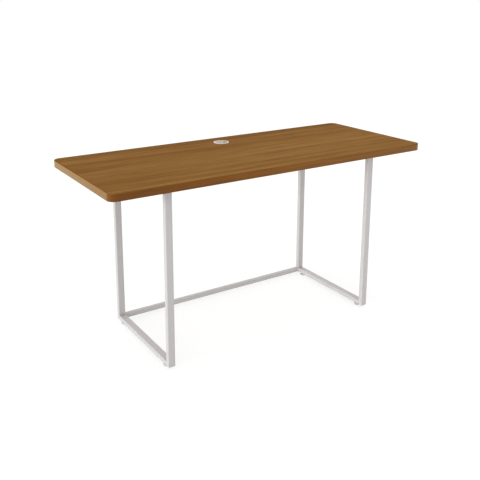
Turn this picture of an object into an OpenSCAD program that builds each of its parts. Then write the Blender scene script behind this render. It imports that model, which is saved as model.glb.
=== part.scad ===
// Writing desk: a banded laminate desktop on two mitred tube frames joined by a rear crossbar.
// Millimetres, Z up. The origin is on the floor below the centre of the desktop.

/* [Desktop] */
// Width of the desktop, left to right
desk_w = 1500; // [1200:10:1800]
// Depth of the desktop, front to back
desk_d = 600; // [560:10:800]
// Height of the work surface above the floor
desk_h = 760; // [700:5:820]
// Thickness of the desktop with its laminates
top_t = 30; // [24:1:40]
// Radius of the desktop's corners seen from above
corner_r = 30; // [10:1:80]
// Thickness of each laminate sheet
laminate_t = 0.8; // [0.5:0.1:1.5]
// Thickness of the edge band
band_t = 3; // [2.5:0.25:5]
// Radius that eases the long edges of the edge band
edge_r = 2; // [0.5:0.25:2.25]
// Thickness of the glue line behind the edge band
glue_t = 0.1; // [0.05:0.05:0.3]

/* [Cable grommet] */
// Diameter of the hole through the desktop
grommet_hole = 60; // [50:1:80]
// Distance from the rear edge of the desktop to the centre of the hole
grommet_inset = 100; // [70:5:150]
// Width of the liner's rim outside the hole
rim_w = 5; // [3:0.5:10]
// Height of the liner's rim above the desktop
rim_t = 2; // [1.5:0.25:4]
// Radius on the outer edge of the rim
rim_r = 1.2; // [0.5:0.1:1.4]
// Length of the liner's sleeve below the work surface
sleeve_l = 24; // [16:1:28]
// Wall of the liner's sleeve
sleeve_t = 1.6; // [1:0.1:2.5]
// Width of the ledge that carries the cap
ledge_w = 2; // [1.5:0.25:4]
// Thickness of the ledge
ledge_t = 1.5; // [1:0.25:3]
// Thickness of the cap
cap_t = 2.4; // [1.8:0.2:4]
// Depth of the skirt under the cap
skirt_h = 7; // [5:0.5:10]
// Wall of the skirt
skirt_t = 1.2; // [0.8:0.1:2]
// Width of the cable slot in the cap
slot_w = 16; // [10:1:20]
// Length of the cable slot from the rim of the cap inwards
slot_l = 20; // [15:1:24]
// Direction in which the cable slot opens, counted from +X
slot_angle = -30; // [-180:5:180]

/* [Frame] */
// Width over both side frames
frame_w = 1030; // [800:10:1150]
// Depth of each side frame
frame_d = 492; // [400:2:520]
// Distance from the rear edge of the desktop to the rear face of the frame
rear_inset = 52; // [10:2:70]
// Width of the frame tube, left to right
tube_w = 30; // [24:1:50]
// Depth of the frame tube in the plane of the frame
tube_d = 20; // [16:1:40]
// Wall of the frame tube
wall_t = 1.5; // [1:0.1:2]
// Outer corner radius of the frame tube
tube_r = 2.5; // [1:0.25:4]
// Depth of the rear crossbar, front to back
bar_d = 20; // [16:1:40]
// Length of the spigot inside each end of the crossbar
spigot_l = 45; // [35:1:80]
// Wall of the spigot
spigot_t = 2; // [1.5:0.25:3]

/* [Frame fixings] */
// Number of screws through each top rail
rail_screws = 3; // [2:1:6]
// Distance from the front or rear face of the frame to the nearest screw
screw_margin = 70; // [40:5:120]
// Diameter of the frame screws
screw_d = 6; // [5:0.5:8]
// Length of a frame screw inside its insert
screw_bite = 9; // [6:0.5:11]
// Diameter of the screw head
head_d = 10.5; // [9:0.5:14]
// Height of the screw head
head_h = 3.3; // [2.5:0.1:5]
// Diameter of the washer
washer_d = 12; // [11:0.5:18]
// Thickness of the washer
washer_t = 1.6; // [1:0.1:2]
// Outer diameter of the threaded insert in the desktop
insert_d = 11; // [9.5:0.5:14]
// Length of the threaded insert
insert_l = 13; // [11.5:0.5:16]
// Diameter of the screws that hold the crossbar on its spigots
bar_screw_d = 5; // [3:0.5:6]
// Distance from the side frame to the crossbar screw
bar_screw_x = 25; // [15:1:30]

/* [Levelling glides] */
// Distance from the front or rear face of the frame to the centre of a glide
glide_inset = 43; // [36:1:80]
// Diameter of the glide pad
pad_d = 28; // [20:1:30]
// Height of the glide pad
pad_h = 7; // [5:0.5:12]
// Diameter of the levelling stud
stud_d = 8; // [6:0.5:9]
// Width across the flats of the stud's hexagon and of its nut
hex_af = 13; // [12:0.5:17]
// Height of the stud's hexagon
hex_h = 3.3; // [2.5:0.1:6]
// Height of the nut welded inside the bottom rail
nut_h = 6.5; // [5:0.5:8]

/* [Clearances] */
// Gap between pieces that are pushed together or turn in each other
fit_gap = 0.3; // [0.2:0.05:0.4]
// Gap between a screw thread and the thread round it
thread_gap = 0.1; // [0.05:0.01:0.15]

/* [Hidden] */
$fn = 48;

LEFT = -1;
RIGHT = 1;
FRONT = -1;
REAR = 1;

wood = [0.53, 0.36, 0.20];
band_wood = [0.50, 0.33, 0.17];
chipboard = [0.76, 0.66, 0.50];
backing = [0.60, 0.52, 0.42];
silver_paint = [0.76, 0.75, 0.74];
grommet_grey = [0.80, 0.78, 0.74];
cap_grey = [0.70, 0.69, 0.66];
pad_grey = [0.66, 0.66, 0.66];
steel = [0.62, 0.63, 0.65];
brass = [0.74, 0.62, 0.36];

under_z = desk_h - top_t;
core_inset = band_t + glue_t;
grommet_y = desk_d / 2 - grommet_inset;

back_y = desk_d / 2 - rear_inset;
front_y = back_y - frame_d;
frame_x = (frame_w - tube_w) / 2;
bar_end_x = frame_w / 2 - tube_w;
rail_z = pad_h + hex_h + fit_gap;
leg_h = under_z - rail_z;

sleeve_r = grommet_hole / 2 - fit_gap;
seat_r = sleeve_r - sleeve_t;
rim_top_z = desk_h + rim_t;
ledge_z = rim_top_z - cap_t - fit_gap;
cap_r = seat_r - fit_gap;
ledge_r = seat_r - ledge_w;
skirt_r = ledge_r - fit_gap;

head_z = under_z - tube_d - washer_t;
insert_r = insert_d / 2;
bar_head_r = 0.9 * bar_screw_d;
bar_head_h = 0.5 * bar_screw_d;

stud_r = stud_d / 2;
ball_r = stud_r + 1;
ball_z = 3;
stud_top_z = rail_z + tube_d - wall_t - 1;
nut_z = rail_z + wall_t;

function screw_y(i) = front_y + screw_margin + i * (frame_d - 2 * screw_margin) / (rail_screws - 1);
function glide_y(end) = end == FRONT ? front_y + glide_inset : back_y - glide_inset;

// Rectangle with true round corners, centred on the origin
module round_rect(w, d, r) {
    square([w - 2 * r, d], center = true);
    square([w, d - 2 * r], center = true);
    for (x = [-1, 1], y = [-1, 1])
        translate([x * (w / 2 - r), y * (d / 2 - r)])
            circle(r);
}

// Cross-section of a drawn tube, centred on the origin
module tube_section(w, d) {
    bore_r = max(tube_r - wall_t, 0.3);
    difference() {
        round_rect(w, d, tube_r);
        round_rect(w - 2 * wall_t, d - 2 * wall_t, bore_r);
    }
}

// Places its children at every screw of both top rails
module at_frame_screws() {
    for (side = [LEFT, RIGHT], i = [0:rail_screws - 1])
        translate([side * frame_x, screw_y(i), 0])
            children();
}

// Places its children at one glide
module at_glide(side, end) {
    translate([side * frame_x, glide_y(end), 0])
        children();
}

// Places its children at the screw below each end of the crossbar
module at_crossbar_screws() {
    for (side = [LEFT, RIGHT])
        translate([side * (bar_end_x - bar_screw_x), back_y - bar_d / 2, 0])
            children();
}

// Outline of the board inside the edge band
module board_outline() {
    difference() {
        round_rect(desk_w - 2 * core_inset, desk_d - 2 * core_inset, corner_r - core_inset);
        translate([0, grommet_y])
            circle(grommet_hole / 2);
    }
}

module desktop_core() {
    color(chipboard)
    difference() {
        translate([0, 0, under_z + laminate_t])
            linear_extrude(top_t - 2 * laminate_t)
                board_outline();
        at_frame_screws()
            translate([0, 0, under_z])
                cylinder(r = insert_r + thread_gap, h = insert_l + 1);
    }
}

module top_laminate() {
    color(wood)
    translate([0, 0, desk_h - laminate_t])
        linear_extrude(laminate_t)
            board_outline();
}

module under_laminate() {
    color(backing)
    difference() {
        translate([0, 0, under_z])
            linear_extrude(laminate_t)
                board_outline();
        at_frame_screws()
            translate([0, 0, under_z - 1])
                cylinder(r = insert_r + thread_gap, h = laminate_t + 2);
    }
}

// Quarter of a disc, from +X to +Y
module quarter_disc(r) {
    intersection() {
        circle(r);
        square(r);
    }
}

// Section of the edge band: its inner face is on the Y axis and its outer edges are eased
module band_section() {
    square([band_t - edge_r, top_t]);
    translate([0, edge_r])
        square([band_t, top_t - 2 * edge_r]);
    translate([band_t - edge_r, top_t - edge_r])
        quarter_disc(edge_r);
    translate([band_t - edge_r, edge_r])
        mirror([0, 1])
            quarter_disc(edge_r);
}

// One straight run of the band, centred on the middle of a side of the board
module band_run(l) {
    translate([0, l / 2, 0])
        rotate([90, 0, 0])
            linear_extrude(l)
                band_section();
}

// One quarter turn of the band round a corner of the board
module band_corner() {
    rotate_extrude(angle = 90)
        translate([corner_r - band_t, 0])
            band_section();
}

module edge_band() {
    run_x = desk_w / 2 - band_t;
    run_y = desk_d / 2 - band_t;
    arc_x = desk_w / 2 - corner_r;
    arc_y = desk_d / 2 - corner_r;
    color(band_wood)
    translate([0, 0, under_z])
    union() {
        translate([run_x, 0, 0]) band_run(2 * arc_y);
        translate([-run_x, 0, 0]) rotate([0, 0, 180]) band_run(2 * arc_y);
        translate([0, run_y, 0]) rotate([0, 0, 90]) band_run(2 * arc_x);
        translate([0, -run_y, 0]) rotate([0, 0, -90]) band_run(2 * arc_x);
        translate([arc_x, arc_y, 0]) band_corner();
        translate([-arc_x, arc_y, 0]) rotate([0, 0, 90]) band_corner();
        translate([-arc_x, -arc_y, 0]) rotate([0, 0, 180]) band_corner();
        translate([arc_x, -arc_y, 0]) rotate([0, 0, 270]) band_corner();
    }
}

module threaded_inserts() {
    color(brass)
    at_frame_screws()
        translate([0, 0, under_z])
            difference() {
                cylinder(r = insert_r, h = insert_l);
                translate([0, 0, -1])
                    cylinder(r = screw_d / 2 + thread_gap, h = insert_l + 2);
            }
}

// Half-section of the liner: rim, sleeve and the ledge that the cap sits on
module liner_section() {
    rim_r_out = grommet_hole / 2 + rim_w;
    translate([seat_r, desk_h])
        square([rim_r_out - rim_r - seat_r, rim_t]);
    translate([seat_r, desk_h])
        square([rim_r_out - seat_r, rim_t - rim_r]);
    translate([rim_r_out - rim_r, rim_top_z - rim_r])
        quarter_disc(rim_r);
    translate([seat_r, desk_h - sleeve_l])
        square([sleeve_t, sleeve_l + rim_t]);
    translate([ledge_r, ledge_z - ledge_t])
        square([ledge_w + sleeve_t, ledge_t]);
}

module grommet_liner() {
    color(grommet_grey)
    translate([0, grommet_y, 0])
        rotate_extrude()
            liner_section();
}

module grommet_cap() {
    cap_z = rim_top_z - cap_t;
    slot_x = cap_r - slot_l + slot_w / 2;
    color(cap_grey)
    translate([0, grommet_y, 0])
    rotate([0, 0, slot_angle])
    difference() {
        union() {
            translate([0, 0, cap_z])
                cylinder(r = cap_r, h = cap_t);
            translate([0, 0, cap_z - skirt_h])
                difference() {
                    cylinder(r = skirt_r, h = skirt_h);
                    translate([0, 0, -1])
                        cylinder(r = skirt_r - skirt_t, h = skirt_h + 1);
                }
        }
        translate([slot_x, 0, cap_z - skirt_h - 1])
            cylinder(d = slot_w, h = cap_t + skirt_h + 2);
        translate([slot_x, -slot_w / 2, cap_z - skirt_h - 1])
            cube([slot_l, slot_w, cap_t + skirt_h + 2]);
    }
}

// Tube along +Z with its outer face on y = 0 and both ends cut at 45 degrees
module mitred_tube(l) {
    difference() {
        translate([0, tube_d / 2, 0])
            linear_extrude(l)
                tube_section(tube_w, tube_d);
        mitre_cut();
        translate([0, 0, l])
            mirror([0, 0, 1])
                mitre_cut();
    }
}

// Block that cuts away all that lies below the plane z = y
module mitre_cut() {
    s = 3 * tube_d;
    rotate([45, 0, 0])
        translate([-tube_w, -s, -s])
            cube([2 * tube_w, 3 * s, s]);
}

module front_leg(side) {
    color(silver_paint)
    translate([side * frame_x, front_y, rail_z])
        mitred_tube(leg_h);
}

module rear_leg(side) {
    color(silver_paint)
    translate([side * frame_x, back_y, rail_z])
        mirror([0, 1, 0])
            mitred_tube(leg_h);
}

module bottom_rail(side) {
    color(silver_paint)
    difference() {
        translate([side * frame_x, front_y, rail_z])
            mirror([0, 0, 1])
                rotate([-90, 0, 0])
                    mitred_tube(frame_d);
        for (end = [FRONT, REAR])
            at_glide(side, end)
                translate([0, 0, rail_z - 1])
                    cylinder(r = stud_r + fit_gap, h = wall_t + 2);
    }
}

module top_rail(side) {
    color(silver_paint)
    difference() {
        translate([side * frame_x, front_y, under_z])
            rotate([-90, 0, 0])
                mitred_tube(frame_d);
        at_frame_screws()
            translate([0, 0, under_z - tube_d - 1])
                cylinder(r = screw_d / 2 + fit_gap, h = tube_d + 2);
    }
}

module rear_crossbar() {
    color(silver_paint)
    difference() {
        translate([-bar_end_x, back_y - bar_d / 2, rail_z + tube_d / 2])
            rotate([90, 0, 90])
                linear_extrude(2 * bar_end_x)
                    tube_section(bar_d, tube_d);
        at_crossbar_screws()
            translate([0, 0, rail_z - 1])
                cylinder(r = bar_screw_d / 2 + fit_gap, h = wall_t + 2);
    }
}

// Short square tube welded to the side frame, over which the crossbar is pushed
module spigot(side) {
    w = bar_d - 2 * wall_t - 2 * fit_gap;
    h = tube_d - 2 * wall_t - 2 * fit_gap;
    start_x = side == LEFT ? -bar_end_x : bar_end_x - spigot_l;
    color(steel)
    difference() {
        translate([start_x, back_y - bar_d / 2, rail_z + tube_d / 2])
            rotate([90, 0, 90])
                linear_extrude(spigot_l)
                    difference() {
                        square([w, h], center = true);
                        square([w - 2 * spigot_t, h - 2 * spigot_t], center = true);
                    }
        at_crossbar_screws()
            translate([0, 0, rail_z + wall_t - 1])
                cylinder(r = bar_screw_d / 2 + thread_gap, h = spigot_t + 2);
    }
}

module crossbar_screws() {
    color(steel)
    at_crossbar_screws() {
        translate([0, 0, rail_z - bar_head_h])
            cylinder(r = bar_head_r, h = bar_head_h);
        translate([0, 0, rail_z])
            cylinder(d = bar_screw_d, h = wall_t + fit_gap + spigot_t + 1);
    }
}

module frame_screws() {
    socket_r = 0.3 * head_d;
    socket_h = 0.6 * head_h;
    color(steel)
    at_frame_screws()
    difference() {
        union() {
            translate([0, 0, head_z - head_h])
                cylinder(d = head_d, h = head_h);
            translate([0, 0, head_z])
                cylinder(d = screw_d, h = washer_t + tube_d + screw_bite);
        }
        translate([0, 0, head_z - head_h - 1])
            cylinder(r = socket_r, h = socket_h + 1, $fn = 6);
    }
}

module frame_washers() {
    color(steel)
    at_frame_screws()
        translate([0, 0, head_z])
            difference() {
                cylinder(d = washer_d, h = washer_t);
                translate([0, 0, -1])
                    cylinder(r = screw_d / 2 + fit_gap, h = washer_t + 2);
            }
}

module glide_nuts() {
    color(steel)
    for (side = [LEFT, RIGHT], end = [FRONT, REAR])
        at_glide(side, end)
            translate([0, 0, nut_z])
                difference() {
                    cylinder(d = hex_af / cos(30), h = nut_h, $fn = 6);
                    translate([0, 0, -1])
                        cylinder(r = stud_r + thread_gap, h = nut_h + 2);
                }
}

// Half-section of a glide pad, with a socket for the foot of the stud
module pad_section() {
    foot_r = 1;
    shoulder = 2;
    socket_r = ball_r + thread_gap;
    difference() {
        union() {
            square([pad_d / 2 - foot_r, foot_r]);
            translate([pad_d / 2 - foot_r, foot_r])
                circle(foot_r);
            polygon([
                [0, foot_r], [pad_d / 2, foot_r], [pad_d / 2, pad_h - shoulder],
                [pad_d / 2 - shoulder, pad_h], [0, pad_h]
            ]);
        }
        translate([-1, ball_z])
            square([socket_r + 1, pad_h]);
        translate([-foot_r, -1])
            square([foot_r, pad_h + 2]);
    }
}

module glide_pad(side, end) {
    color(pad_grey)
    at_glide(side, end)
        rotate_extrude()
            pad_section();
}

// Threaded stud with a hexagon for the spanner and a plain foot that turns in the pad
module glide_stud(side, end) {
    color(steel)
    at_glide(side, end) {
        translate([0, 0, ball_z])
            cylinder(r = ball_r, h = pad_h - ball_z);
        translate([0, 0, pad_h])
            cylinder(d = hex_af / cos(30), h = hex_h, $fn = 6);
        translate([0, 0, pad_h + hex_h])
            cylinder(r = stud_r, h = stud_top_z - pad_h - hex_h);
    }
}

desktop_core();
top_laminate();
under_laminate();
edge_band();
threaded_inserts();
grommet_liner();
grommet_cap();
front_leg(LEFT);  // left_front_leg
rear_leg(LEFT);  // left_rear_leg
bottom_rail(LEFT);  // left_bottom_rail
top_rail(LEFT);  // left_top_rail
front_leg(RIGHT);  // right_front_leg
rear_leg(RIGHT);  // right_rear_leg
bottom_rail(RIGHT);  // right_bottom_rail
top_rail(RIGHT);  // right_top_rail
rear_crossbar();
spigot(LEFT);  // left_spigot
spigot(RIGHT);  // right_spigot
crossbar_screws();
frame_screws();
frame_washers();
glide_nuts();
glide_pad(LEFT, FRONT);  // left_front_pad
glide_pad(LEFT, REAR);  // left_rear_pad
glide_pad(RIGHT, FRONT);  // right_front_pad
glide_pad(RIGHT, REAR);  // right_rear_pad
glide_stud(LEFT, FRONT);  // left_front_stud
glide_stud(LEFT, REAR);  // left_rear_stud
glide_stud(RIGHT, FRONT);  // right_front_stud
glide_stud(RIGHT, REAR);  // right_rear_stud
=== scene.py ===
# Writing desk: a banded laminate desktop on two welded tube frames, joined at the rear by a crossbar.
# Metres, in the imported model's own frame: X along the desktop, Y to its rear edge, Z up from the floor.
import math

import bmesh
import bpy
import numpy as np
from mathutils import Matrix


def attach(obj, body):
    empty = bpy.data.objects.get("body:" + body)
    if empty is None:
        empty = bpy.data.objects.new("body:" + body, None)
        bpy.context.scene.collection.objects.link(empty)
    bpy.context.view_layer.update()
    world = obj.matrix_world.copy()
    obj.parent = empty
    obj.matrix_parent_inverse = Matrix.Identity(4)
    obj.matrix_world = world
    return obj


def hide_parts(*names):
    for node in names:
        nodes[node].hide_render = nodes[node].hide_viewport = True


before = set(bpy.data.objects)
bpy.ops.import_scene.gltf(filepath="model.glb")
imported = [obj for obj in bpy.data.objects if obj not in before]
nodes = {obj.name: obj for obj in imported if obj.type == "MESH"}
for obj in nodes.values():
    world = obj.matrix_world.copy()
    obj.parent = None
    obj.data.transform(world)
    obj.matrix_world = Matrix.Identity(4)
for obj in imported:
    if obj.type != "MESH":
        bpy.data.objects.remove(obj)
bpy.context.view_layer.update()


# Desktop core. A sheet of chipboard 28.4 mm thick, sawn to size and bored for the cable grommet.
# It is closed in by the laminates and the edge band, and shows only in the bores.


class Value:
    """A number that varies over a surface. + - * and ** with values or numbers each add one Math node."""

    def __init__(self, graph, socket):
        self.graph, self.socket = graph, socket

    def __add__(self, other):
        return self.graph.math("ADD", self, other)

    def __sub__(self, other):
        return self.graph.math("SUBTRACT", self, other)

    def __rsub__(self, other):
        return self.graph.math("SUBTRACT", other, self)

    def __mul__(self, other):
        return self.graph.math("MULTIPLY", self, other)

    def __pow__(self, other):
        return self.graph.math("POWER", self, other)

    __radd__, __rmul__ = __add__, __mul__


class Graph:
    """The nodes of one finish, or of the studio's surround."""

    def __init__(self, tree):
        self.tree = tree

    def put(self, value, socket):
        """Links a value to a socket, or sets the socket to a plain number, vector or colour."""
        if isinstance(value, Value):
            self.tree.links.new(value.socket, socket)
        else:
            socket.default_value = value

    def node(self, kind, settings=None, sockets=None, out=0):
        """One node: its settings first, then the numbers or links of its sockets. Returns one output."""
        made = self.tree.nodes.new(kind)
        for name, value in (settings or {}).items():
            if name == "stops":
                stops = made.color_ramp.elements
                for position, _ in value[1:-1]:
                    stops.new(position)
                for stop, (position, tint) in zip(stops, value):
                    stop.position, stop.color = position, tint
            else:
                setattr(made, name, value)
        for name, value in (sockets or {}).items():
            self.put(value, made.inputs[name])
        return Value(self, made.outputs[out])

    def math(self, operation, *numbers):
        """One Math node on one or two values or numbers."""
        return self.node("ShaderNodeMath", {"operation": operation}, dict(enumerate(numbers)))


class Finish(Graph):
    """A material round one Principled shader. Its pattern has its place in the object's metres, or on the UV
    map that uv names. The other keywords name the shader's sockets that are the same all over."""

    def __init__(self, name, uv=None, **fixed):
        self.material = bpy.data.materials.new(name)
        self.material.use_nodes = True
        super().__init__(self.material.node_tree)
        self.shader = self.tree.nodes["Principled BSDF"]
        self.feed(**fixed)
        if uv:
            self.place = self.node("ShaderNodeUVMap", {"uv_map": uv})
        else:
            self.place = self.node("ShaderNodeTexCoord", out="Object")

    def noise(self, cells, detail=2.0, shift=(0.0, 0.0, 0.0)):
        """Soft noise about 0.5. cells is how many fit in a metre, all ways alike or along X, Y and Z."""
        at = self.node("ShaderNodeVectorMath", {"operation": "MULTIPLY_ADD"},
                       {0: self.place, 1: np.broadcast_to(cells, 3).tolist(), 2: shift})
        return self.node("ShaderNodeTexNoise", {}, {"Vector": at, "Scale": 1.0, "Detail": detail})

    def window(self, value, low, high):
        """0 below low, 1 above high, and a smooth step between them."""
        return self.node("ShaderNodeMapRange", {"interpolation_type": "SMOOTHSTEP"},
                         {"Value": value, "From Min": low, "From Max": high})

    def ramp(self, value, dark, middle, light):
        """Three colours, for 0, 0.5 and 1, and what lies between them."""
        stops = [(0.0, dark), (0.5, middle), (1.0, light)]
        return self.node("ShaderNodeValToRGB", {"stops": stops}, {0: value})

    def blend(self, mask, first, second):
        """first where mask is 0, second where it is 1."""
        return self.node("ShaderNodeMix", {"data_type": "RGBA"}, {0: mask, 6: first, 7: second}, out=2)

    def feed(self, **sockets):
        """Sets or links the shader's sockets, with _ for each space in their names."""
        for name, value in sockets.items():
            self.put(value, self.shader.inputs[name.replace("_", " ")])

    def relief(self, height, depth):
        """Bump whose full height is depth metres."""
        bump = self.node("ShaderNodeBump", {}, {"Height": height, "Distance": depth, "Strength": 1.0})
        self.feed(Normal=bump)


def colour(red, green, blue):
    """A screen colour, 0 to 255, as linear light: (c / 255 + 0.055) / 1.055 to the power 2.4."""
    c = (np.array([red, green, blue]) / 255 + 0.055) / 1.055
    return (*(c ** 2.4).tolist(), 1.0)


def chipboard():
    """Pressed flakes: each cell of a Voronoi pattern has its own shade, with dark glue specks between."""
    flakes_per_metre = (260.0, 420.0, 900.0)
    f = Finish("chipboard", Roughness=0.85, Specular_IOR_Level=0.1)
    at = f.node("ShaderNodeVectorMath", {"operation": "MULTIPLY"}, {0: f.place, 1: flakes_per_metre})
    flake = f.node("ShaderNodeTexVoronoi", {}, {"Vector": at, "Scale": 1.0}, out="Color")
    shade = f.node("ShaderNodeSeparateColor", {}, {0: flake})
    wood = f.ramp(shade, colour(168, 134, 92), colour(196, 163, 117), colour(214, 186, 142))
    glue = f.window(f.noise(700.0), 0.62, 0.72)
    f.feed(Base_Color=f.blend(glue * 0.6, wood, colour(112, 80, 50)))
    f.relief(shade, 0.0004)
    return f


def dress(node, finish):
    """Gives a CAD node that keeps its own shape a finish."""
    nodes[node].data.materials.clear()
    nodes[node].data.materials.append(finish.material)


dress("desktop_core", chipboard())


# Top laminate. A hard printed sheet pressed on the core, with the wood's grain along the desktop.
# Matt, with the fibres of the grain very slightly raised and its pores very slightly sunk.


def wood_print(f, dark, middle, light):
    """Printed wood with its grain along X: its colour, and the height of its surface.

    A growth line is a steady darkening and a sudden return, fraction(38 across + 5 drift) squared, where
    drift is noise about 3 m long and 0.3 m wide that bends the lines and changes their spacing. The rest of
    the grain is noise drawn out along X, and each layer adds strength (noise - 0.5) to the tone. Pores are
    short dashes where the finest noise is high.
    """
    lines_per_metre, bend = 38.0, 5.0
    drift = f.noise((0.33, 3.4, 1.0), 1.0, (3.1, 0.4, 0.0))
    across = f.node("ShaderNodeSeparateXYZ", {}, {0: f.place}, out="Y")
    late = f.math("FRACT", across * lines_per_metre + drift * bend) ** 2.0
    fibre = f.noise((7.0, 420.0, 1.0), 3.0)
    tone = 0.55 + (fibre - 0.5) * 0.8 - late * 0.13
    for cells, detail, shift, strength in (
        ((0.8, 22.0, 1.0), 2.0, (0.0, 0.0, 0.0), 0.75),  # streaks
        ((0.5, 4.5, 1.0), 1.0, (0.0, 8.0, 2.0), 1.10),  # broad bands
        ((2.6, 80.0, 1.0), 2.0, (1.0, 3.0, 0.0), 0.60),  # ripples
        ((8.0, 60.0, 1.0), 1.0, (5.0, 0.0, 7.0), 0.28),  # flecks
    ):
        tone += (f.noise(cells, detail, shift) - 0.5) * strength
    pore = f.window(f.noise((45.0, 1500.0, 1.0), 1.0), 0.58, 0.68)
    return f.blend(pore * 0.42, f.ramp(tone, dark, middle, light), dark), fibre - pore * 0.8


def wood_finish(name, tones, rough, smoother, **fixed):
    """The print as a finish from three tones. Its roughness is rough - smoother times the grain's height."""
    f = Finish(name, **fixed)
    body, height = wood_print(f, *(colour(*tone) for tone in tones))
    f.feed(Base_Color=body, Roughness=rough - height * smoother)
    f.relief(height, 0.00003)
    return f


top_tones = (99, 63, 24), (129, 89, 42), (154, 114, 64)
dress("top_laminate", wood_finish("wood_laminate_top", top_tones, rough=0.74, smoother=0.12,
                                  Specular_IOR_Level=0.004))


# Underside laminate. A plain balancing sheet in a matt brown, pressed on the core so that it stays flat.
# It is bored for the threaded inserts.


def backing_finish():
    """Kraft paper under melamine: one brown with a faint cloud and fine short fibres."""
    f = Finish("backing_laminate", Specular_IOR_Level=0.25)
    cloud, fibre = f.noise(9.0, 3.0), f.noise((900.0, 260.0, 500.0))
    tone = (cloud - 0.5) * 0.8 + fibre
    f.feed(Base_Color=f.blend(tone, colour(150, 132, 108), colour(178, 160, 134)),
           Roughness=0.6 + (fibre - 0.5) * 0.2)
    f.relief(fibre, 0.00002)
    return f


dress("under_laminate", backing_finish())


# Edge band. A 3 mm band of the same print, glued round all four sides from one length and scraped to a
# 2 mm radius along both long edges. Its ends meet in a butt joint in the middle of the rear edge.

desk_w, desk_d, desk_h, top_t = 1.500, 0.600, 0.760, 0.030
corner_r, band_t, edge_r = 0.030, 0.003, 0.002
crease = 0.6  # radians: an edge that turns by more than this stays sharp


def eased(corners, cut, steps=6, closed=True):
    """Outline with rounded corners. A corner P becomes the circular arc from A to B, a distance cut to either
    side: ((1-s)^2 A + 2w s(1-s) P + s^2 B) / ((1-s)^2 + 2w s(1-s) + s^2), with w the cosine of half the turn.
    One more point on each side, lead cuts from P, keeps the flats flat under smooth shading."""
    lead = 1.35
    p = np.asarray(corners, float)
    back, ahead = np.roll(p, 1, 0) - p, np.roll(p, -1, 0) - p
    back /= np.linalg.norm(back, axis=1)[:, None]
    ahead /= np.linalg.norm(ahead, axis=1)[:, None]
    cut = np.broadcast_to(np.asarray(cut, float), len(p))[:, None]
    w = np.sqrt((1 - (back * ahead).sum(1)) / 2)[:, None, None]
    s = np.linspace(0, 1, steps + 1)[None, :, None]
    a, b, p = (p + back * cut)[:, None], (p + ahead * cut)[:, None], p[:, None]
    weights = (1 - s) ** 2, 2 * w * s * (1 - s), s ** 2
    arc = (weights[0] * a + weights[1] * p + weights[2] * b) / sum(weights)
    rounded = np.concatenate([p + lead * (a - p), arc, p + lead * (b - p)], 1)
    if closed:
        return np.concatenate([*rounded, rounded[0, :1]])
    return np.concatenate([p[0], *rounded[1:-1], p[-1]])


def closed_mesh(name, grids, uv=None):
    """A mesh from one or more grids of points. Point (i, j) is joined to (i+1, j) and (i, j+1), points that
    coincide are merged, open ends are closed with flat faces, and all faces are turned outward."""
    same_place = 2e-6
    quads, start = [], 0
    for grid in grids:
        at = start + np.arange(grid.shape[0] * grid.shape[1]).reshape(grid.shape[:2])
        quads.append(np.stack([at[:-1, :-1], at[:-1, 1:], at[1:, 1:], at[1:, :-1]], -1).reshape(-1, 4))
        start += at.size
    points, quads = np.concatenate([grid.reshape(-1, 3) for grid in grids]), np.concatenate(quads)
    mesh = bpy.data.meshes.new(name)
    mesh.from_pydata(points.tolist(), [], quads.tolist())
    if uv is not None:
        mesh.uv_layers.new(name="along").data.foreach_set("uv", uv.reshape(-1, 2)[quads.ravel()].ravel())
    work = bmesh.new()
    work.from_mesh(mesh)
    bmesh.ops.remove_doubles(work, verts=work.verts, dist=same_place)
    open_edges = [edge for edge in work.edges if edge.is_boundary]
    if open_edges:
        bmesh.ops.holes_fill(work, edges=open_edges, sides=0)
    bmesh.ops.recalc_face_normals(work, faces=work.faces)
    work.to_mesh(mesh)
    work.free()
    mesh.polygons.foreach_set("use_smooth", np.ones(len(mesh.polygons), bool))
    mesh.set_sharp_from_angle(angle=crease)
    return mesh


def piece(name, grids, finish, body, replaces, uv=None):
    """A piece of the visual model, from its grids, on its body and in the place of its CAD nodes."""
    mesh = closed_mesh(name, grids, uv)
    mesh.materials.append(finish.material)
    made = bpy.data.objects.new(name, mesh)
    bpy.context.scene.collection.objects.link(made)
    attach(made, body)
    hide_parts(*replaces)
    return made


def board_outline():
    """Round the desktop's edge, anticlockwise from the middle of the rear edge: points, outward directions
    and the length walked. A corner is centre + radius (cos a, sin a), with a point a short lead before it
    and one after it."""
    steps, lead = 14, 0.001
    cx, cy = desk_w / 2 - corner_r, desk_d / 2 - corner_r
    centre = np.array([[-cx, cy], [-cx, -cy], [cx, -cy], [cx, cy]])[:, None]
    turn = np.pad(np.linspace(0, np.pi / 2, steps + 1), 1, "edge")
    walk = np.pad(np.zeros(steps + 1), 1, constant_values=(-lead, lead))[:, None]
    a = np.pi / 2 * np.arange(1, 5)[:, None] + turn
    out = np.stack([np.cos(a), np.sin(a)], -1)
    side = np.stack([-out[..., 1], out[..., 0]], -1)
    rim = (centre + corner_r * out + walk * side).reshape(-1, 2)
    joint, rearward = np.array([[0, desk_d / 2]]), np.array([[0, 1.0]])
    rim = np.concatenate([joint, rim, joint])
    out = np.concatenate([rearward, out.reshape(-1, 2), rearward])
    return rim, out, np.cumsum(np.linalg.norm(np.diff(rim, axis=0, prepend=joint), axis=1))


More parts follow.
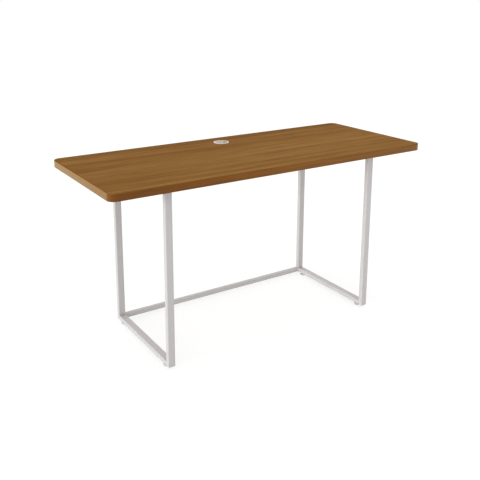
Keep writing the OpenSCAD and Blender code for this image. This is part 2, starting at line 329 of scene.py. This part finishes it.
def edge_band():
    """The band's section, with n outward from its glued face and z up, carried round the outline:
    point = outline - (band_t - n) outward. UV is the length along the band and round the section. The press
    left a sheen on the band's face, and the scraped edges, whose normals lean up or down, are matt."""
    n, z = eased([(0, 0), (band_t, 0), (band_t, top_t), (0, top_t)], [0, edge_r, edge_r, 0]).T
    rim, out, along = board_outline()
    grid = np.empty((len(rim), len(n), 3))
    grid[..., :2] = rim[:, None] - out[:, None] * (band_t - n)[None, :, None]
    grid[..., 2] = desk_h - top_t + z
    girth = np.cumsum(np.hypot(np.diff(n, prepend=n[0]), np.diff(z, prepend=z[0])))
    uv = np.stack(np.broadcast_arrays(along[:, None], girth[None]), -1)

    face_tones = (87, 44, 7), (115, 66, 14), (141, 89, 30)
    pressed = wood_finish("wood_band_face", face_tones, rough=0.48, smoother=0.10, uv="along",
                          Specular_IOR_Level=0.10, Sheen_Weight=1.0, Sheen_Roughness=0.44,
                          Sheen_Tint=(1.0, 0.78, 0.38, 1.0))
    edge_tones = (98, 57, 17), (127, 83, 31), (153, 107, 50)
    scraped = wood_finish("wood_band_scraped_edge", edge_tones, rough=0.74, smoother=0.10, uv="along",
                          Specular_IOR_Level=0.004)
    least_lean = 0.1
    mesh = piece("edge_band_wrap", [grid], pressed, "desk", ["edge_band"], uv).data
    mesh.materials.append(scraped.material)
    normal = np.empty((len(mesh.polygons), 3), np.float32)
    mesh.polygons.foreach_get("normal", normal.ravel())
    mesh.polygons.foreach_set("material_index", (abs(normal[:, 2]) > least_lean).astype(np.int32))


edge_band()


# Threaded inserts. Six zinc-plated steel sleeves that take the frame screws. They are driven into the core
# from below, through the underside laminate.


def zinc_plate():
    """Bright zinc: metal with a slight cloud in its shine and the faint yellow and blue of the plating."""
    f = Finish("zinc_plated_steel", Metallic=1.0)
    cloud, grain = f.noise(150.0, 3.0), f.noise(2500.0, 1.0)
    f.feed(Base_Color=f.blend(f.window(cloud, 0.35, 0.65), colour(196, 198, 196), colour(208, 206, 196)),
           Roughness=0.30 + (cloud - 0.5) * 0.3)
    f.relief(grain, 0.00001)
    return f


zinc = zinc_plate()
dress("threaded_inserts", zinc)


# Grommet liner. A moulded sleeve pushed into the desktop's 60 mm hole until its rim lies on the laminate.
# A ledge just below the rim carries the cap. Satin plastic in a warm light grey.

grommet_at = (0.0, 0.200)
mm = 0.001


def turned(profile, centre, steps):
    """A profile of (radius, height) turned about the axis at centre: (x + r cos a, y + r sin a, z)."""
    r, z = np.asarray(profile).T
    a = np.linspace(0, 2 * np.pi, steps + 1)[:, None]
    return np.stack(np.broadcast_arrays(centre[0] + r * np.cos(a), centre[1] + r * np.sin(a), z), -1)


def moulded(name, dark, light, rough, texture=2600.0):
    """Moulded plastic: an even colour with a faint flow cloud, and the fine sparked texture of the mould."""
    f = Finish(name, Specular_IOR_Level=0.25)
    flow, spark = f.noise(60.0), f.noise(texture)
    f.feed(Base_Color=f.blend(flow + (spark - 0.5) * 0.5, colour(*dark), colour(*light)),
           Roughness=rough + (spark - 0.5) * 0.2)
    f.relief(spark, 0.00003)
    return f


def grommet_liner():
    """The liner's section turned about its axis, in millimetres. Each corner has its radius, its height above
    the floor and how far it is rounded."""
    rim_r, sleeve_r, seat_r, ledge_r = 35.0, 29.7, 28.1, 26.1
    rim_top, rim_low, ledge_top, ledge_low, sleeve_low = 762.0, 760.0, 759.3, 757.8, 736.0
    r, z, cut = zip(
        (rim_r, rim_top, 1.15),
        (seat_r, rim_top, 0.45),
        (seat_r, ledge_top, 0.15),
        (ledge_r, ledge_top, 0.3),
        (ledge_r, ledge_low, 0.3),
        (seat_r, ledge_low, 0.2),
        (seat_r, sleeve_low, 0.35),
        (sleeve_r, sleeve_low, 0.6),
        (sleeve_r, rim_low, 0.15),
        (rim_r, rim_low, 0.3),
    )
    grid = turned(eased(np.stack([r, z], -1), cut) * mm, grommet_at, 96)
    finish = moulded("grommet_plastic_liner", (190, 181, 167), (204, 195, 181), rough=0.42)
    piece("grommet_liner_moulding", [grid], finish, "desk", ["grommet_liner"])


grommet_liner()


# Grommet cap. A moulded lid that drops into the liner, centred by a skirt inside the ledge, with a slot
# open to its rim for the cables. It turns in the liner, so the slot can face any way.

cap_r, slot_w, slot_l = 27.8, 16.0, 20.0  # millimetres
slot_turn = math.radians(-30)


def open_ring(radius, gap, steps):
    """A circle, radius (cos a, sin a), walked anticlockwise from one side to the other of a gap along +X."""
    start = np.arcsin(gap / 2 / radius)
    a = np.linspace(start, 2 * np.pi - start, steps + 1)
    return radius * np.stack([np.cos(a), np.sin(a)], -1)


def cap_outline():
    """The lid seen from above with its slot along +X, anticlockwise, in millimetres: the rim, then the slot's
    sides and its round end, with the two corners where they meet the rim rounded off."""
    end_r, corner_cut = slot_w / 2, 1.2
    rim = open_ring(cap_r, slot_w, 96)
    a = np.linspace(1.5 * np.pi, 0.5 * np.pi, 25)
    end = end_r * np.stack([np.cos(a), np.sin(a)], -1) + [cap_r - slot_l + end_r, 0]
    corners = np.concatenate([rim, end])
    cut = np.zeros(len(corners))
    cut[0] = cut[len(rim) - 1] = corner_cut
    line = eased(corners, cut, 5)[:-1]
    return line[np.linalg.norm(np.roll(line, -1, 0) - line, axis=1) > 1e-3]


def walls(outline, inset, height):
    """A grid of closed loops: loop k is the outline moved inward by inset[k], at height[k]."""
    along = np.roll(outline, -1, 0) - np.roll(outline, 1, 0)
    along /= np.linalg.norm(along, axis=1)[:, None]
    out = np.stack([along[:, 1], -along[:, 0]], -1)
    grid = np.empty((len(inset), len(outline) + 1, 3))
    loop = outline[None] - np.asarray(inset)[:, None, None] * out[None]
    grid[:, :-1, :2], grid[:, -1, :2] = loop, loop[:, 0]
    grid[..., 2] = np.asarray(height)[:, None]
    return grid


def placed(grid, angle, centre):
    """A grid in millimetres turned about its own upright axis and set down at centre, in metres."""
    c, s = np.cos(angle), np.sin(angle)
    x, y, z = np.moveaxis(grid, -1, 0)
    return np.stack([c * x - s * y, s * x + c * y, z], -1) * mm + [*centre, 0]


def combine(made, operation, grids):
    """Fuses the solids of grids to a finished piece (UNION), or takes them out of it (DIFFERENCE)."""
    second = bpy.data.objects.new("second_solid", closed_mesh("second_solid", grids))
    bpy.context.scene.collection.objects.link(second)
    step = made.modifiers.new("combined", "BOOLEAN")
    step.operation, step.solver, step.object = operation, "EXACT", second
    both = bpy.data.meshes.new_from_object(made.evaluated_get(bpy.context.evaluated_depsgraph_get()))
    made.modifiers.clear()
    first, made.data = made.data, both
    both.set_sharp_from_angle(angle=crease)
    bpy.data.objects.remove(second)
    bpy.data.meshes.remove(first)


def grommet_cap():
    """Lid and skirt, fused, in millimetres. The lid's upper edge is a round, inset edge (1 - cos a) at height
    top - edge (1 - sin a). The skirt is a ring cut by the slot, and reaches 0.6 mm into the lid."""
    low, top, edge, chamfer = 759.6, 762.0, 0.5, 0.25
    a = np.linspace(0, np.pi / 2, 6)
    inset = [0.6, chamfer, 0, 0, *(edge * (1 - np.cos(a))), 0.7]
    height = [low, low, low + chamfer, top - 0.7, *(top - edge * (1 - np.sin(a))), top]
    lid = walls(cap_outline(), inset, height)

    skirt_out, skirt_in, skirt_gap, skirt_low = 25.8, 24.6, slot_w + 0.4, 752.6
    ring = [open_ring(skirt_out, skirt_gap, 80), open_ring(skirt_in, skirt_gap, 80)[::-1]]
    skirt = walls(np.concatenate(ring), [0, 0, 0.2], [low + 0.6, skirt_low + 0.3, skirt_low])

    lid, skirt = (placed(grid, slot_turn, grommet_at) for grid in (lid, skirt))
    finish = moulded("cap_plastic_lid", (147, 141, 128), (161, 155, 142), rough=0.5, texture=1900.0)
    made = piece("grommet_cap_moulding", [lid], finish, "cap", ["grommet_cap"])
    combine(made, "UNION", [skirt])


grommet_cap()


# Side frames. Each is four lengths of 30 by 20 mm steel tube, cut at 45 degrees, welded at the corners and
# ground flush, then powder-coated in a satin silver grey. The seam of each weld still shows faintly.

frame_x, front_y, back_y, rail_z, under_z = 0.500, -0.244, 0.248, 0.0106, 0.730
tube_w, tube_d, tube_r, wall_t = 0.030, 0.020, 0.0025, 0.0015
screw_y, screw_hole_r = (-0.174, 0.002, 0.178), 0.0033
glide_y, glide_hole_r = (-0.201, 0.205), 0.0043


def powder_coat():
    """Baked powder: a silver grey with a faint cloud, fine metal flake, and the shallow skin of an orange."""
    f = Finish("silver_powder_coat", Specular_IOR_Level=0.12, Metallic=0.2)
    cloud, flake, peel = f.noise(14.0), f.noise(5200.0, 0.0), f.noise(640.0, 1.0)
    tone = 0.5 + (cloud - 0.5) * 0.5 + (flake - 0.5) * 1.2
    f.feed(Base_Color=f.blend(tone, colour(190, 187, 187), colour(203, 200, 200)),
           Roughness=0.55 + (peel - 0.5) * 0.16)
    f.relief(peel + flake * 0.15, 0.00004)
    return f


paint = powder_coat()


def tube(origin, along, inward, length, width=tube_w, depth=tube_d, mitre=1.0):
    """A hollow tube from origin, the middle of its outer face. A section w across and v inward, d inside the
    tube's faces and rounded to tube_r - d, stands at u = mitre v + inset from either end: first along the
    outside, then back along the bore. The outside is drawn in at its ends, the shallow groove of the weld."""
    groove_w, groove_d = 0.0006, 0.00025
    outside = [(0, groove_d), (groove_w, 0), (2 * groove_w, 0)]
    rows = [(0, *row) for row in outside] + [(1, *row) for row in outside[::-1]]
    rows += [(1, 0, wall_t), (0, 0, wall_t), (0, 0, groove_d)]
    across, grid = np.cross(along, inward), []
    for far, inset, d in rows:
        left, right, low, high = d - width / 2, width / 2 - d, d, depth - d
        w, v = eased([(left, low), (right, low), (right, high), (left, high)], tube_r - d).T
        u = far * length + (1 - 2 * far) * (mitre * v + inset)
        grid.append(origin + u[:, None] * along + v[:, None] * inward + w[:, None] * across)
    return np.stack(grid)


def drill(made, centres, radius, low, high):
    """Bores an upright hole at each centre, through the metal between the heights low and high."""
    spare = 0.001
    low, high = low - spare, high + spare
    bit = [(0, low), (radius, low), (radius, high), (0, high)]
    combine(made, "DIFFERENCE", [turned(bit, at, 48) for at in centres])


X, Y, Z = np.eye(3)
leg, rail = under_z - rail_z, back_y - front_y
for side, x in (("left", -frame_x), ("right", frame_x)):
    for name, grid in (
        ("front_leg", tube((x, front_y, rail_z), Z, Y, leg)),
        ("rear_leg", tube((x, back_y, rail_z), Z, -Y, leg)),
        ("bottom_rail", tube((x, front_y, rail_z), Y, Z, rail)),
        ("top_rail", tube((x, front_y, under_z), Y, -Z, rail)),
    ):
        made = piece(f"{side}_{name}_tube", [grid], paint, "desk", [f"{side}_{name}"])
        if name == "bottom_rail":
            drill(made, [(x, y) for y in glide_y], glide_hole_r, rail_z, rail_z + wall_t)
        if name == "top_rail":
            drill(made, [(x, y) for y in screw_y], screw_hole_r, under_z - tube_d, under_z)


# Rear crossbar. A 20 mm square tube pushed over a spigot on each side frame and held by a screw from below.
# The spigots are short lengths of steel tube welded to the frames and coated with them.

bar_half, bar_w, bar_y = 0.485, 0.020, 0.238
bar_screw_x, bar_hole_r = 0.460, 0.0028


def screws(centres, seat_z, head, socket, shank):
    """Button-head screws pointing up, one grid each, with their heads below seat_z. head, socket and shank
    are each a radius and a height. Row k of a screw has radius r_k(a) and height z_k: the socket is a
    hexagon, r = socket_r cos 30 / cos((a mod 60) - 30), and the domed face is z = 0.45 h (r / R)^2."""
    (head_r, head_h), (socket_r, socket_h), (shank_r, shank_h) = head, socket, shank
    low, tip, chamfer = seat_z - head_h, seat_z + shank_h, 0.0006
    a = np.linspace(0, 2 * np.pi, 37)
    hexagon = socket_r * np.cos(np.pi / 6) / np.cos(a % (np.pi / 3) - np.pi / 6)
    s = np.linspace(0, 1, 6)[:, None]
    dome_r = hexagon + s * (0.96 * head_r - hexagon)
    dome_z = low + 0.45 * head_h * (dome_r / head_r) ** 2
    rows = [
        (0, low + socket_h),  # the socket's floor and its lower edge
        (0.98 * hexagon, low + socket_h),
        (hexagon, low + socket_h - 0.0001),
        *zip(dome_r, dome_z),
        (head_r, low + 0.55 * head_h),  # the head's side and its flat face
        (head_r, seat_z - 0.0002),
        (0.97 * head_r, seat_z),
        (shank_r, seat_z),  # the shank and its chamfered tip
        (shank_r, tip - chamfer),
        (shank_r - chamfer, tip),
        (0, tip),
    ]
    r, z = (np.stack([np.broadcast_to(row[k], a.shape) for row in rows]) for k in (0, 1))
    return [np.stack([x + r * np.cos(a), y + r * np.sin(a), z], -1) for x, y in centres]


dress("left_spigot", paint)
dress("right_spigot", paint)
bar = tube((-bar_half, bar_y, rail_z), X, Z, 2 * bar_half, width=bar_w, depth=bar_w, mitre=0.0)
bar_screws_at = [(-bar_screw_x, bar_y), (bar_screw_x, bar_y)]
crossbar = piece("rear_crossbar_tube", [bar], paint, "desk", ["rear_crossbar"])
drill(crossbar, bar_screws_at, bar_hole_r, rail_z, rail_z + wall_t)
grids = screws(bar_screws_at, rail_z, head=(0.0045, 0.0025), socket=(0.0018, 0.0014), shank=(0.0025, 0.0048))
piece("crossbar_button_screws", grids, zinc, "desk", ["crossbar_screws"])


# Frame screws and washers. Three button-head screws go up through each top rail into the inserts, with a
# washer under each head. Zinc-plated steel, with a hexagon socket.

washer_z, washer_t, washer_in, washer_out = 0.7084, 0.0016, 0.0033, 0.0060
frame_screws_at = [(x, y) for x in (-frame_x, frame_x) for y in screw_y]
grids = screws(frame_screws_at, washer_z, head=(0.00525, 0.0033), socket=(0.00315, 0.00198),
               shank=(0.003, 0.0306))
piece("frame_button_screws", grids, zinc, "desk", ["frame_screws"])
section = [(washer_in, 0), (washer_out, 0), (washer_out, washer_t), (washer_in, washer_t)]
ring = eased(section, 0.0003, 3) + [0, washer_z]
grids = [turned(ring, at, 36) for at in frame_screws_at]
piece("frame_plain_washers", grids, zinc, "desk", ["frame_washers"])


# Levelling glides. A nut welded inside each bottom rail takes an 8 mm stud, and the stud's foot turns in a
# moulded nylon pad. A spanner on the stud's hexagon raises or lowers that corner of the desk.

dress("glide_nuts", zinc)
pad_r, pad_h, socket_r, foot_z = 14.0, 7.0, 5.1, 3.0  # millimetres


def stud(centre):
    """Foot, hexagon and thread in one grid, in millimetres. The hexagon's corners are chamfered,
    r = min(hexagon, 6.3 + 1.8 t) with t the distance to its nearer end. The thread's flank is a triangle wave
    of z / pitch - a / 2 pi, flattened at its crest and root, from root_r to crest_r."""
    foot_r, across_flats, hex_h, tip_z = 5.0, 13.0, 3.3, 28.1
    crest_r, root_r, tip_r, pitch = 4.0, 3.25, 3.1, 1.25
    a = np.linspace(0, 2 * np.pi, 49)
    foot = [(0, foot_z), (foot_r - 0.4, foot_z), (foot_r, foot_z + 0.3), (foot_r, pad_h - 0.1),
            (foot_r - 0.1, pad_h)]
    hexagon = across_flats / 2 / np.cos(a % (np.pi / 3) - np.pi / 6)
    sides = [(np.minimum(hexagon, 6.3 + 1.8 * min(t, hex_h - t)), pad_h + t)
             for t in (0, 0.35, 0.7, 1.6, 2.6, 2.95, hex_h)]
    z = np.linspace(pad_h + hex_h, tip_z, 143)[:, None]
    phase = (z / pitch - a / (2 * np.pi)) % 1
    wave = np.clip(1.5 * (1 - np.abs(2 * phase - 1)) - 0.2, 0, 1)
    run_out = np.clip((z - z[0] - 0.3) / 0.8, 0, 1)
    thread = np.minimum(root_r + (crest_r - root_r) * wave * run_out, tip_r + tip_z - z)
    rows = [*foot, *sides, *zip(thread, z), (0, tip_z)]
    r, z = (np.stack([np.broadcast_to(row[k], a.shape) for row in rows]) * mm for k in (0, 1))
    return np.stack([centre[0] + r * np.cos(a), centre[1] + r * np.sin(a), z], -1)


def pad(centre):
    """The pad's section turned about its axis, in millimetres: a flat sole, a sloping shoulder and the socket
    for the foot. Each corner has its radius, its height and how far it is rounded."""
    socket_z = foot_z + 0.05
    r, z, cut = zip(
        (0, 0, 0),
        (pad_r, 0, 0.9),
        (pad_r, pad_h - 2, 0.7),
        (pad_r - 2, pad_h, 0.7),
        (socket_r, pad_h, 0.3),
        (socket_r, socket_z, 0.1),
        (0, socket_z, 0),
    )
    return turned(eased(np.stack([r, z], -1), cut, closed=False) * mm, centre, 64)


nylon = moulded("glide_nylon", (178, 178, 178), (192, 192, 191), rough=0.42)
for side, x in (("left", -frame_x), ("right", frame_x)):
    for end, y in zip(("front", "rear"), glide_y):
        foot = f"{side}_{end}"
        piece(f"{foot}_threaded_stud", [stud((x, y))], zinc, f"{foot}_screw", [f"{foot}_stud"])
        piece(f"{foot}_nylon_pad", [pad((x, y))], nylon, f"{foot}_foot", [f"{foot}_pad"])


# Studio. A pale floor that keeps a soft shadow, a plain white surround, three broad soft lamps and a camera
# at the photograph's angle.

white, surround_level = (1.0, 1.0, 1.0, 1.0), 0.93


def seen(graph):
    """1 where the camera looks, straight or in a glossy or clear surface, and 0 for light that only falls."""
    camera, glossy, clear = (graph.node("ShaderNodeLightPath", out=f"Is {ray} Ray")
                             for ray in ("Camera", "Glossy", "Transmission"))
    return graph.math("MAXIMUM", graph.math("MAXIMUM", camera, glossy), clear)


def white_floor():
    """Matt pale grey, mixed with plain white for what the camera and the reflections see, so that the floor
    fades into the surround and keeps only the shadow."""
    glow_share, glow_level = 0.62, 1.2
    f = Finish("studio_floor")
    tone = f.blend(f.noise(3.0), colour(232, 232, 232), colour(236, 236, 236))
    cloth = f.node("ShaderNodeBsdfDiffuse", {}, {"Color": tone})
    glow = f.node("ShaderNodeEmission", {}, {"Color": white, "Strength": glow_level})
    both = f.node("ShaderNodeMixShader", {}, {0: seen(f) * glow_share, 1: cloth, 2: glow})
    f.put(both, f.tree.nodes["Material Output"].inputs["Surface"])
    f.tree.nodes.remove(f.shader)
    return f


reach = 60.0
sheet = bpy.data.meshes.new("studio_floor")
sheet.from_pydata([(-reach, -reach, 0), (reach, -reach, 0), (reach, reach, 0), (-reach, reach, 0)],
                  [], [(0, 1, 2, 3)])
sheet.materials.append(white_floor().material)
floor = bpy.data.objects.new("studio_floor", sheet)
bpy.context.scene.collection.objects.link(floor)

world = bpy.data.worlds.new("studio_surround")
world.use_nodes = True
bpy.context.scene.world = world
sky, background = Graph(world.node_tree), world.node_tree.nodes["Background"]
sky.put(white, background.inputs["Color"])
sky.put(surround_level + seen(sky) * (1.0 - surround_level), background.inputs["Strength"])


def lamp(name, towards, strength, angle):
    """A broad soft lamp so far off that it lights everything alike. towards points from the desk to the lamp,
    and angle is how wide the lamp looks from there, in degrees."""
    made = bpy.data.objects.new(name, bpy.data.lights.new(name, "SUN"))
    made.data.energy, made.data.angle = strength, math.radians(angle)
    x, y, z = towards
    made.rotation_euler = (math.atan2(math.hypot(x, y), z), 0, math.atan2(x, -y))
    bpy.context.scene.collection.objects.link(made)


lamp("left_softbox", (-1.0, -0.12, 0.12), strength=2.10, angle=20)
lamp("front_softbox", (-0.10, -1.0, 0.30), strength=0.05, angle=40)
lamp("rear_softbox", (0.70, 1.0, 0.25), strength=0.40, angle=40)

look_down, look_right = math.radians(13.30), math.radians(32.34)
camera = bpy.data.objects.new("camera", bpy.data.cameras.new("camera"))
camera.location = (-1.5746, -2.3474, 1.4153)
camera.rotation_euler = (math.pi / 2 - look_down, 0, -look_right)
camera.data.lens, camera.data.sensor_width = 50.65, 36.0
camera.data.shift_x, camera.data.shift_y = 0.0244, -0.18
bpy.context.scene.collection.objects.link(camera)
bpy.context.scene.camera = camera
bpy.context.scene.view_settings.view_transform = "Standard"
